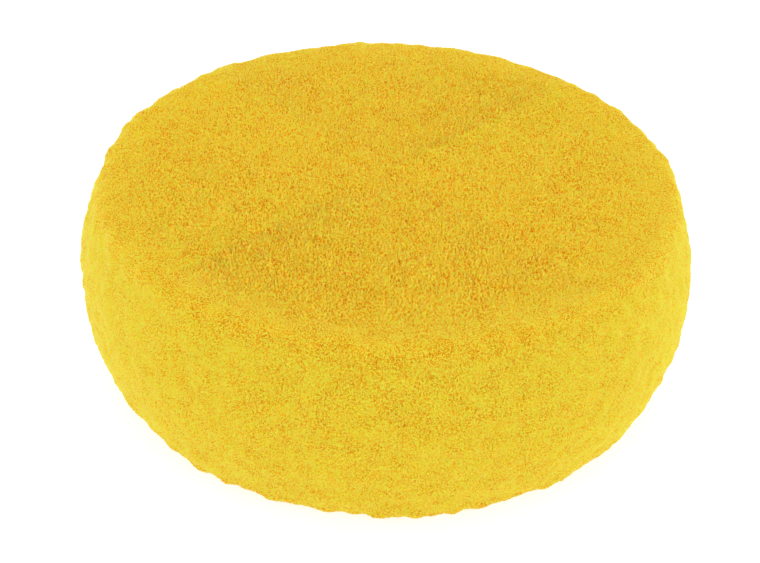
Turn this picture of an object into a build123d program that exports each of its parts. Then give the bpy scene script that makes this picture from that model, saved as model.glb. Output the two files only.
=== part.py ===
from build123d import *
import os

# Round painting sponge: one thick disc of open-cell foam, cut from a block in a single piece.
# Millimetres, +Z up. The origin is the centre of the underside, which the sponge rests on.
# Both faces are flat and alike, so the sponge works either way up.

SPONGE_DIAMETER = 76.0  # across the fullest part of the side, at mid-height
SPONGE_THICKNESS = 25.0  # from one flat face to the other
SIDE_BULGE = 3.1  # how far the side swells past the rims, measured on the radius
RIM_ROUNDING = 1.9  # radius that softens each rim, where a flat face meets the side

PARTS_FOLDER = "parts"


def half_section():
    """Half of the disc's upright section, from its axis out to its side, with both rims rounded."""
    side_radius = SPONGE_DIAMETER / 2
    rim_radius = side_radius - SIDE_BULGE
    with BuildSketch(Plane.XZ) as section:
        with BuildLine():
            under = Line((0, 0), (rim_radius, 0))
            side = ThreePointArc(
                under @ 1,
                (side_radius, SPONGE_THICKNESS / 2),
                (rim_radius, SPONGE_THICKNESS),
            )
            top = Line(side @ 1, (0, SPONGE_THICKNESS))
            Line(top @ 1, under @ 0)
        make_face()
        rims = section.vertices().group_by(Axis.X)[-1]
        fillet(rims, RIM_ROUNDING)
    return section.sketch


def sponge_disc():
    """The sponge itself: flat top and underside, and a side that swells in one arc."""
    return revolve(half_section(), axis=Axis.Z)


def main():
    os.makedirs(PARTS_FOLDER, exist_ok=True)
    sub_parts = {"sponge_disc": sponge_disc()}
    for name, shape in sub_parts.items():
        export_step(shape, os.path.join(PARTS_FOLDER, name + ".step"))


main()
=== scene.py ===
"""A round yellow foam sponge, lying flat on a pale studio floor."""

import math

import bpy
import numpy as np
from mathutils import Matrix, Vector


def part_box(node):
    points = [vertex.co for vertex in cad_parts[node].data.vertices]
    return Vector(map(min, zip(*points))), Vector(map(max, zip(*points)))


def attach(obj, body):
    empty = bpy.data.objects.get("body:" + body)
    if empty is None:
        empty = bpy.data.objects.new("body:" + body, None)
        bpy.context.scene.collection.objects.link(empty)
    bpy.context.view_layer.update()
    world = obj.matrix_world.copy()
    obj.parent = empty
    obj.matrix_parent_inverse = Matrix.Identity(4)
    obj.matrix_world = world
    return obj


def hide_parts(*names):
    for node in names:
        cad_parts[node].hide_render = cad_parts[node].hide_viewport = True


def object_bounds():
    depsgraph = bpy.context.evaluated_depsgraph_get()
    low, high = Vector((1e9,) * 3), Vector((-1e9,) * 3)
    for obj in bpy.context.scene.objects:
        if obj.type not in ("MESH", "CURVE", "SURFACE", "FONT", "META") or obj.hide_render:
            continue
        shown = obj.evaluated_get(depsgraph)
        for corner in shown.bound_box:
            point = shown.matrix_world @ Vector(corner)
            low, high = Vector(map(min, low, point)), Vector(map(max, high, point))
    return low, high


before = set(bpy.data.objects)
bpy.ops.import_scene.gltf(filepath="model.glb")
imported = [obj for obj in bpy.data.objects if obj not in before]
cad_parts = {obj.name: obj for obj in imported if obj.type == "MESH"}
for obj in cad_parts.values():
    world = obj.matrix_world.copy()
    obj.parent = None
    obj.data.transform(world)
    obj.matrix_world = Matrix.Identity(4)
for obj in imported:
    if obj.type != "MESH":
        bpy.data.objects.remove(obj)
cad_low, cad_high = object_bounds()

MM = 0.001
WHITE = (1, 1, 1, 1)

# ---- camera -----------------------------------------------------------------
CAMERA_DISTANCE = 190 * MM
CAMERA_ELEVATION = math.radians(34.4)
CAMERA_ROLL = math.radians(1.72)
AIM_OFFSET = Vector((-0.72, 0, -4.41)) * MM
FOCAL_LENGTH_MM = 70.7
SENSOR_WIDTH_MM = 36
CLIP_START = 1 * MM

# ---- studio -----------------------------------------------------------------
SURROUND_STRENGTH = 1.21
FLOOR_REACH = 4.0
FLOOR_COLOUR = (0.45, 0.45, 0.45, 1)
FLOOR_GLOW = 0.7
FLOOR_ROUGHNESS = 0.9
SOFTBOXES = (  # name, place, size, watts
    ("front_softbox", (0.0, -0.65, 0.2), (0.5, 0.3), 0.35),
    ("right_softbox", (0.6, -0.15, 0.12), (0.4, 0.25), 0.06),
)

# ---- the sponge's outline, as in the CAD part ---------------------------------
SIDE_BULGE = 3.1 * MM
RIM_ROUNDING = 1.9 * MM

# ---- mesh density -------------------------------------------------------------
FACE_CELLS = 376  # along each side of a flat face's grid; the rim has four times as many
SIDE_ROWS = 184

# ---- pores --------------------------------------------------------------------
PORE_GRAIN = 0.145 * MM  # noise size; a pore and its strut together are about three of these
GRAIN_AXIS = (1, 2, 3)  # turns the noise off the sponge's own axes, so every face cuts it alike
GRAIN_TURN = 0.7
GRAIN_RANGE = (0.38, 0.62)  # the noise values that a strut turns into a pore between
GRAIN_SHARE = 0.7
PIT_SIZE = 0.22 * MM  # wider, deeper pits scattered among the pores
PIT_RANGE = (0.56, 0.66)
PIT_SHARE = 0.6
FACE_OPENNESS = 0.85
SIDE_OPENNESS_AND_END_LIGHT = (0.5, 0.68)  # at the barrel side's two ends, and at its front and back; the ends' less open, paler pores are partly painted light, standing in for the brighter light there
SIDE_END_RANGE = (0.4, 1.0)  # how far front or back the surface faces, from one to the other
RIM_BLEND = (-4 * MM, 7 * MM)  # the side's colour and pores turn into the face's over this
RIM_REACH = 3.0 * MM
RIM_BOOST = 0.25  # the pores are this much more open at the rim, over RIM_REACH each way
RIM_DEPTH_SHARE = 0.55  # and this much as deep
PORE_DEPTH = 0.56 * MM
SIDE_DEPTH_SHARE = 0.6

# ---- notched rims and uneven girth --------------------------------------------
EDGE_LUMP_SIZE = 2.3 * MM
EDGE_LUMP_RANGE = (0.3, 0.7)
EDGE_LUMP_DEPTH = 0.36 * MM  # at the rims
SIDE_LUMP_SHARE = 0.55  # of that depth, round the middle of the side
SIDE_LUMP_RANGE = (0.3, 0.75)  # how level the surface is, from the side's middle to the rims
SWAY_SIZE = 16 * MM
SWAY_RANGE = (0.2, 0.8)
SWAY_DEPTH = 0.3 * MM
FACE_FADE_POWER = 4.0  # lumps and sway die out where the rim turns level, so faces stay flat

# ---- foam material ------------------------------------------------------------
PORE_SHADED_FOAM_COLOURS = (  # how far into a pore, and its colour there: the foam's yellow on the struts, darker and more orange deeper in as painted shade
    (0.0, (0.76, 0.645, 0.045)),
    (0.35, (0.835, 0.50, 0.02)),
    (0.7, (0.755, 0.28, 0.002)),
    (1.0, (0.62, 0.16, 0.001)),
)
SIDE_SHADE_TINT = (0.87, 0.965, 0.9)  # painted shade: the barrel side is darkened, most in red, to offset the brighter light it gets, leaving it a little more lemon than the cut faces
PATCH_SIZE = 2.0 * MM  # patches with more open or less open pores
PATCH_RANGE = (0.35, 0.65)
PATCH_STRENGTH = 0.1
BLOTCH_SIZE = 1.6 * MM
BLOTCH_RANGE = (0.5, 0.75)
BLOTCH_SHARE = 0.2
BLOTCH_COLOUR = (0.82, 0.40, 0.005)
PAINTED_GLINT_SIZE = 0.12 * MM  # painted glints: pale specks standing in for tiny highlights on the struts, where the pores are least open
PAINTED_GLINT_RANGE = (0.55, 0.7)
PAINTED_GLINT_SHARE = 0.2
PAINTED_GLINT_COLOUR = (0.92, 0.82, 0.22)
ROUGHNESS_RANGE = (0.55, 0.8)  # on a strut, and in a pore
BUMP_DISTANCE = 0.1 * MM
BUMP_STRENGTH = 0.6
FOAM_FINISH = {
    "Specular IOR Level": 0.1,
    "Sheen Weight": 0.05,
    "Sheen Roughness": 0.5,
    "Sheen Tint": (1, 0.9, 0.3, 1),
    "Subsurface Weight": 1.0,
    "Subsurface Radius": (1.0, 0.4, 0.08),
    "Subsurface Scale": 0.5 * MM,
}

# ---- baked texture layout -----------------------------------------------------
UV_PER_METRE = 6.85
UV_MARGIN = 0.01
TOP_UV_CENTRE = (0.25, 0.75)
UNDER_UV_CENTRE = (0.75, 0.75)


def add_object(name, data):
    thing = bpy.data.objects.new(name, data)
    bpy.context.scene.collection.objects.link(thing)
    return thing


# ---- mesh ---------------------------------------------------------------------
def disc_grid(cells):
    """A square grid of cells mapped evenly onto the unit disc, as [i, j] -> (x, y)."""
    steps = np.linspace(-1, 1, cells + 1)
    a, b = np.meshgrid(steps, steps, indexing="ij")
    wide = np.abs(a) > np.abs(b)
    safe_a = np.where(a == 0, 1, a)
    safe_b = np.where(b == 0, 1, b)
    radius = np.where(wide, a, b)
    angle = np.where(wide, np.pi / 4 * b / safe_a, np.pi / 2 - np.pi / 4 * a / safe_b)
    return np.stack([radius * np.cos(angle), radius * np.sin(angle)], -1)


def side_profile(radius, height, rows):
    """Evenly spaced (r, z) down the side, from the top face's edge to the underside's.

    Also gives the profile's length.
    """
    half = height / 2
    barrel_radius = (half**2 + SIDE_BULGE**2) / (2 * SIDE_BULGE)
    barrel_centre = radius - barrel_radius
    rim_z = half - RIM_ROUNDING
    rim_r = barrel_centre + math.sqrt((barrel_radius - RIM_ROUNDING) ** 2 - rim_z**2)
    meet = math.atan2(rim_z, rim_r - barrel_centre)
    rim_length = RIM_ROUNDING * (math.pi / 2 - meet)
    length = 2 * (rim_length + barrel_radius * meet)
    points = []
    for along in np.linspace(0, length, rows + 1):
        from_end = min(along, length - along)
        if from_end < rim_length:
            turn = math.pi / 2 - from_end / RIM_ROUNDING
            r = rim_r + RIM_ROUNDING * math.cos(turn)
            up = rim_z + RIM_ROUNDING * math.sin(turn)
        else:
            turn = meet - (from_end - rim_length) / barrel_radius
            r = barrel_centre + barrel_radius * math.cos(turn)
            up = barrel_radius * math.sin(turn)
        points.append((r, half + (up if along == from_end else -up)))
    return np.array(points), length


def foam_points(disc, ring, profile, height):
    """The top face's points, then each row down the side, then the underside's points."""
    face = disc * profile[0][0]
    top = np.column_stack([face, np.full(len(face), height)])
    under = np.column_stack([face, np.zeros(len(face))])
    rows = [np.column_stack([disc[ring] * r, np.full(len(ring), z)]) for r, z in profile[1:-1]]
    return np.concatenate([top, *rows, under])


def quads_between(levels):
    """Quads joining closed rings of vertex numbers, each ring to the next one down."""
    after = np.roll(levels, -1, axis=1)
    return np.stack([levels[1:], after[1:], after[:-1], levels[:-1]], -1).reshape(-1, 4)


def side_uv(rows, columns, length, girth):
    """Corner UVs of the side's quads, its band cut into two strips one above the other."""
    half = columns // 2
    column = np.arange(columns)
    left = (column % half) / half * girth / 2 * UV_PER_METRE + UV_MARGIN
    right = left + girth / columns * UV_PER_METRE
    strip = (column // half) * (length * UV_PER_METRE + 2 * UV_MARGIN) + UV_MARGIN
    row = np.arange(rows)[:, None]
    high = strip + (rows - row) / rows * length * UV_PER_METRE
    low = strip + (rows - row - 1) / rows * length * UV_PER_METRE
    left, right = np.broadcast_to(left, high.shape), np.broadcast_to(right, high.shape)
    corners = [(left, low), (right, low), (right, high), (left, high)]
    return np.stack([np.stack(corner, -1) for corner in corners], 2).reshape(-1, 2)


def quad_mesh(name, points, quads):
    mesh = bpy.data.meshes.new(name)
    mesh.vertices.add(len(points))
    mesh.vertices.foreach_set("co", points.astype(np.float32).ravel())
    mesh.loops.add(quads.size)
    mesh.loops.foreach_set("vertex_index", quads.astype(np.int32).ravel())
    mesh.polygons.add(len(quads))
    mesh.polygons.foreach_set("loop_start", np.arange(0, quads.size, 4, dtype=np.int32))
    mesh.update(calc_edges=True)
    return mesh


def keep_rim_distance(mesh, points, face_radius, height):
    """Keeps each point's distance from the nearer rim, positive on a face, negative on the side."""
    inside = np.maximum(face_radius - np.hypot(points[:, 0], points[:, 1]), 0)
    below = np.minimum(points[:, 2], height - points[:, 2])
    from_rim = mesh.attributes.new("from_rim", "FLOAT", "POINT")
    from_rim.data.foreach_set("value", (inside - below).astype(np.float32))


def foam_mesh(low, high):
    """The sponge's smooth outline as an even, closed mesh of small quads."""
    radius = (high.x - low.x) / 2
    height = high.z - low.z
    profile, side_length = side_profile(radius, height, SIDE_ROWS)
    face_radius = profile[0][0]
    disc = disc_grid(FACE_CELLS).reshape(-1, 2)
    ids = np.arange(len(disc)).reshape(FACE_CELLS + 1, FACE_CELLS + 1)
    ring = np.concatenate([ids[:-1, 0], ids[-1, :-1], ids[:0:-1, -1], ids[0, :0:-1]])
    columns = len(ring)
    points = foam_points(disc, ring, profile, height)

    between = [len(disc) + columns * row + np.arange(columns) for row in range(SIDE_ROWS - 1)]
    under_start = len(points) - len(disc)
    side_quads = quads_between(np.array([ring, *between, ring + under_start]))
    top_quads = np.stack([ids[:-1, :-1], ids[1:, :-1], ids[1:, 1:], ids[:-1, 1:]], -1)
    top_quads = top_quads.reshape(-1, 4)
    under_quads = top_quads[:, ::-1]
    quads = np.concatenate([top_quads, side_quads, under_quads + under_start])

    top_uv = disc * face_radius * UV_PER_METRE + TOP_UV_CENTRE
    under_uv = disc * (-face_radius, face_radius) * UV_PER_METRE + UNDER_UV_CENTRE
    band_uv = side_uv(SIDE_ROWS, columns, side_length, 2 * math.pi * radius)
    uv = [top_uv[top_quads].reshape(-1, 2), band_uv, under_uv[under_quads].reshape(-1, 2)]

    mesh = quad_mesh("sponge_foam", points, quads)
    keep_rim_distance(mesh, points, face_radius, height)
    layer = mesh.uv_layers.new(name="OFBake")
    layer.uv.foreach_set("vector", np.concatenate(uv).astype(np.float32).ravel())
    mesh.shade_smooth()
    return mesh


# ---- node helpers -------------------------------------------------------------
def add_node(tree, kind, sockets=None, **settings):
    """Adds a node, sets its properties, and sets or links its inputs by name or number."""
    node = tree.nodes.new(kind)
    for name, value in settings.items():
        setattr(node, name, value)
    for key, value in (sockets or {}).items():
        if isinstance(value, bpy.types.NodeSocket):
            tree.links.new(value, node.inputs[key])
        else:
            node.inputs[key].default_value = value
    return node


def maths(tree, operation, *values):
    return add_node(tree, "ShaderNodeMath", dict(enumerate(values)), operation=operation).outputs[0]


def ramp(tree, value, low, high, to_low=0.0, to_high=1.0, smooth=True):
    """Maps low..high to to_low..to_high, clamped."""
    sockets = {"Value": value, "From Min": low, "From Max": high}
    sockets.update({"To Min": to_low, "To Max": to_high})
    kind = "SMOOTHSTEP" if smooth else "LINEAR"
    return add_node(tree, "ShaderNodeMapRange", sockets, interpolation_type=kind).outputs[0]


def noise(tree, position, size, detail=0.0, roughness=0.5):
    sockets = {"Vector": position, "Scale": 1 / size, "Detail": detail, "Roughness": roughness}
    return add_node(tree, "ShaderNodeTexNoise", sockets).outputs[0]


def attribute(tree, name, output):
    return add_node(tree, "ShaderNodeAttribute", attribute_name=name).outputs[output]


def mix_colour(tree, share, colour, other, blend_type="MIX"):
    sockets = {"Factor": share, 6: colour, 7: (*other, 1)}
    settings = {"data_type": "RGBA", "blend_type": blend_type}
    return add_node(tree, "ShaderNodeMix", sockets, **settings).outputs[2]


def colour_ramp(tree, value, stops):
    node = add_node(tree, "ShaderNodeValToRGB", {0: value})
    elements = node.color_ramp.elements
    while len(elements) < len(stops):
        elements.new(0.5)
    for element, (at, colour) in zip(elements, stops):
        element.position = at
        element.color = (*colour, 1)
    return node.outputs[0]


def keep_attribute(tree, geometry, name, value, kind):
    sockets = {"Geometry": geometry, "Name": name, "Value": value}
    settings = {"data_type": kind, "domain": "POINT"}
    return add_node(tree, "GeometryNodeStoreNamedAttribute", sockets, **settings).outputs[0]


def pore_pattern(tree, position):
    """How far into a pore a point is, from 0 on a strut to 1 at a pore's bottom."""
    sockets = {"Vector": position, "Axis": GRAIN_AXIS, "Angle": GRAIN_TURN}
    turned = add_node(tree, "ShaderNodeVectorRotate", sockets).outputs[0]
    grain = ramp(tree, noise(tree, turned, PORE_GRAIN), *GRAIN_RANGE, 0.0, GRAIN_SHARE)
    pits = ramp(tree, noise(tree, turned, PIT_SIZE, detail=1.0), *PIT_RANGE, 0.0, PIT_SHARE)
    return maths(tree, "MINIMUM", maths(tree, "ADD", grain, pits), 1.0)


# ---- foam surface -------------------------------------------------------------
def openness(tree, normal, rim_distance, flatness):
    """How open the pores are: most on the cut faces, least at the barrel side's two ends. The paler
    ends are partly painted light, standing in for the brighter light that falls on them.
    """
    across = add_node(tree, "ShaderNodeSeparateXYZ", {0: normal}).outputs[1]
    # partly painted light: the ends facing left and right get less open, paler pores
    side = ramp(tree, maths(tree, "ABSOLUTE", across), *SIDE_END_RANGE, *SIDE_OPENNESS_AND_END_LIGHT)
    gap = maths(tree, "SUBTRACT", FACE_OPENNESS, side)
    level = maths(tree, "MULTIPLY_ADD", gap, flatness, side)
    rim_boost = ramp(tree, rim_distance, 0.0, RIM_REACH, 1 + RIM_BOOST, 1.0)
    return maths(tree, "MULTIPLY", level, rim_boost)


def pore_depth(tree, open_share, rim_distance, flatness):
    side_depth = SIDE_DEPTH_SHARE * PORE_DEPTH
    depth = ramp(tree, flatness, 0.0, 1.0, side_depth, PORE_DEPTH, smooth=False)
    depth = maths(tree, "MULTIPLY", depth, open_share)
    off_rim = ramp(tree, rim_distance, 0.0, RIM_REACH, RIM_DEPTH_SHARE, 1.0)
    return maths(tree, "MULTIPLY", depth, off_rim)


def unevenness(tree, position, normal):
    """How far the side and rims stand in: short lumps, strongest at the rims, and a slow sway."""
    upward = add_node(tree, "ShaderNodeSeparateXYZ", {0: normal}).outputs[2]
    level = maths(tree, "ABSOLUTE", upward)
    lumps = noise(tree, position, EDGE_LUMP_SIZE, detail=0.6)
    lumps = ramp(tree, lumps, *EDGE_LUMP_RANGE, EDGE_LUMP_DEPTH, -EDGE_LUMP_DEPTH, smooth=False)
    sway = noise(tree, position, SWAY_SIZE, detail=1.0)
    sway = ramp(tree, sway, *SWAY_RANGE, SWAY_DEPTH, -SWAY_DEPTH, smooth=False)
    off_face = maths(tree, "SUBTRACT", 1.0, maths(tree, "POWER", level, FACE_FADE_POWER))
    lump_share = ramp(tree, level, *SIDE_LUMP_RANGE, SIDE_LUMP_SHARE, 1.0)
    uneven = maths(tree, "MULTIPLY_ADD", lumps, lump_share, sway)
    return maths(tree, "MULTIPLY", uneven, off_face)


def foam_surface_nodes():
    """Geometry nodes that carve pores, a notched edge and an uneven girth into the outline.

    They keep each point's place before carving as "rest", and "open" and "flatness" with it.
    """
    tree = bpy.data.node_groups.new("foam_surface", "GeometryNodeTree")
    tree.interface.new_socket("Geometry", in_out="INPUT", socket_type="NodeSocketGeometry")
    tree.interface.new_socket("Geometry", in_out="OUTPUT", socket_type="NodeSocketGeometry")
    start = tree.nodes.new("NodeGroupInput").outputs[0]
    position = tree.nodes.new("GeometryNodeInputPosition").outputs[0]
    normal = tree.nodes.new("GeometryNodeInputNormal").outputs[0]
    sockets = {"Name": "from_rim"}
    kept_rim = add_node(tree, "GeometryNodeInputNamedAttribute", sockets, data_type="FLOAT")
    from_rim = kept_rim.outputs[0]
    rim_distance = maths(tree, "ABSOLUTE", from_rim)
    flatness = ramp(tree, from_rim, *RIM_BLEND)
    open_share = openness(tree, normal, rim_distance, flatness)
    kept = keep_attribute(tree, start, "rest", position, "FLOAT_VECTOR")
    kept = keep_attribute(tree, kept, "open", open_share, "FLOAT")
    kept = keep_attribute(tree, kept, "flatness", flatness, "FLOAT")

    depth = pore_depth(tree, open_share, rim_distance, flatness)
    pores = maths(tree, "MULTIPLY", pore_pattern(tree, position), depth)
    inwards = maths(tree, "ADD", pores, unevenness(tree, position, normal))
    sockets = {0: normal, "Scale": maths(tree, "MULTIPLY", inwards, -1.0)}
    offset = add_node(tree, "ShaderNodeVectorMath", sockets, operation="SCALE").outputs[0]
    moved = add_node(tree, "GeometryNodeSetPosition", {"Geometry": kept, "Offset": offset})
    add_node(tree, "NodeGroupOutput", {0: moved.outputs[0]})
    return tree


def carve(piece):
    """Applies the foam surface to the piece's mesh."""
    modifier = piece.modifiers.new("foam_surface", "NODES")
    modifier.node_group = foam_surface_nodes()
    bpy.context.view_layer.update()
    graph = bpy.context.evaluated_depsgraph_get()
    carved = bpy.data.meshes.new_from_object(piece.evaluated_get(graph), depsgraph=graph)
    piece.modifiers.clear()
    piece.data = carved
    carved.name = piece.name


# ---- foam material ------------------------------------------------------------
def patchy_openness(tree, position):
    patch = noise(tree, position, PATCH_SIZE, detail=1.0)
    patch = ramp(tree, patch, *PATCH_RANGE, -PATCH_STRENGTH, PATCH_STRENGTH)
    return maths(tree, "ADD", attribute(tree, "open", "Fac"), patch)


def foam_colour(tree, position, pores, open_share):
    """Pale struts and darker, more orange pores as painted shade, with soft blotches, pale specks as
    painted highlights, and a side darkened and made more lemon as painted shade.
    """
    # painted shade: the colour darkens and turns orange deeper into each pore
    colour = colour_ramp(tree, pores, PORE_SHADED_FOAM_COLOURS)
    blotch = noise(tree, position, BLOTCH_SIZE, detail=3.0, roughness=0.6)
    blotch = ramp(tree, blotch, *BLOTCH_RANGE, 0.0, BLOTCH_SHARE)
    colour = mix_colour(tree, blotch, colour, BLOTCH_COLOUR)
    # painted highlights: pale glint specks mixed into the colour where the pores are least open
    painted_glint = ramp(tree, noise(tree, position, PAINTED_GLINT_SIZE), *PAINTED_GLINT_RANGE, 0.0, PAINTED_GLINT_SHARE)
    painted_glint = maths(tree, "MULTIPLY", painted_glint, maths(tree, "SUBTRACT", 1.0, open_share))
    colour = mix_colour(tree, painted_glint, colour, PAINTED_GLINT_COLOUR)
    # painted shade on the side: its colour is darkened, most in red, away from the faces
    side_shade_share = maths(tree, "SUBTRACT", 1.0, attribute(tree, "flatness", "Fac"))
    return mix_colour(tree, side_shade_share, colour, SIDE_SHADE_TINT, "MULTIPLY")


def foam_material():
    """Open-cell foam: its colour, roughness and bump follow the pores, and light scatters inside."""
    material = bpy.data.materials.new("yellow_foam")
    material.use_nodes = True
    tree = material.node_tree
    tree.nodes.clear()
    position = attribute(tree, "rest", "Vector")
    open_share = patchy_openness(tree, position)
    pores = maths(tree, "MULTIPLY", pore_pattern(tree, position), open_share)
    height = maths(tree, "MULTIPLY", pores, -1.0)
    sockets = {"Height": height, "Distance": BUMP_DISTANCE, "Strength": BUMP_STRENGTH}
    sockets = {
        "Base Color": foam_colour(tree, position, pores, open_share),
        "Roughness": ramp(tree, pores, 0.0, 1.0, *ROUGHNESS_RANGE),
        "Normal": add_node(tree, "ShaderNodeBump", sockets).outputs[0],
        **FOAM_FINISH,
    }
    shader = add_node(tree, "ShaderNodeBsdfPrincipled", sockets)
    add_node(tree, "ShaderNodeOutputMaterial", {0: shader.outputs[0]})
    return material


def add_sponge():
    low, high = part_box("sponge_disc")
    piece = add_object("sponge_foam", foam_mesh(low, high))
    carve(piece)
    piece.data.materials.append(foam_material())
    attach(piece, "root")
    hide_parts("sponge_disc")


# ---- camera and studio ----------------------------------------------------------
def add_camera(centre):
    data = bpy.data.cameras.new("camera")
    data.lens = FOCAL_LENGTH_MM
    data.sensor_width = SENSOR_WIDTH_MM
    data.clip_start = CLIP_START
    camera = add_object("camera", data)
    back = Vector((0, -math.cos(CAMERA_ELEVATION), math.sin(CAMERA_ELEVATION)))
    camera.location = centre + CAMERA_DISTANCE * back
    look = centre + AIM_OFFSET - camera.location
    turn = look.to_track_quat("-Z", "Y").to_matrix() @ Matrix.Rotation(CAMERA_ROLL, 3, "Z")
    camera.rotation_euler = turn.to_euler()
    bpy.context.scene.camera = camera


def floor_material():
    """Plain pale paper that glows slightly, like a lit table."""
    material = bpy.data.materials.new("floor_paper")
    material.use_nodes = True
    shader = material.node_tree.nodes["Principled BSDF"]
    shader.inputs["Base Color"].default_value = FLOOR_COLOUR
    shader.inputs["Emission Color"].default_value = WHITE
    shader.inputs["Emission Strength"].default_value = FLOOR_GLOW
    shader.inputs["Roughness"].default_value = FLOOR_ROUGHNESS
    return material


def add_floor():
    mesh = bpy.data.meshes.new("floor")
    far = FLOOR_REACH
    corners = [(-far, -far, 0), (far, -far, 0), (far, far, 0), (-far, far, 0)]
    mesh.from_pydata(corners, [], [(0, 1, 2, 3)])
    mesh.materials.append(floor_material())
    add_object("floor", mesh)


def add_softbox(name, place, size, watts, target):
    data = bpy.data.lights.new(name, "AREA")
    data.shape = "RECTANGLE"
    data.size, data.size_y = size
    data.energy = watts
    light = add_object(name, data)
    light.location = place
    light.rotation_euler = (target - Vector(place)).to_track_quat("-Z", "Y").to_euler()


def add_lights(centre):
    """An even white surround and weak softboxes aimed at the sponge."""
    world = bpy.data.worlds.new("studio")
    bpy.context.scene.world = world
    world.use_nodes = True
    surround = world.node_tree.nodes["Background"]
    surround.inputs["Color"].default_value = WHITE
    surround.inputs["Strength"].default_value = SURROUND_STRENGTH
    for name, place, size, watts in SOFTBOXES:
        add_softbox(name, place, size, watts, centre)


bpy.context.scene.view_settings.view_transform = "Standard"
middle = (cad_low + cad_high) / 2
add_camera(middle)
add_floor()
add_lights(middle)
add_sponge()
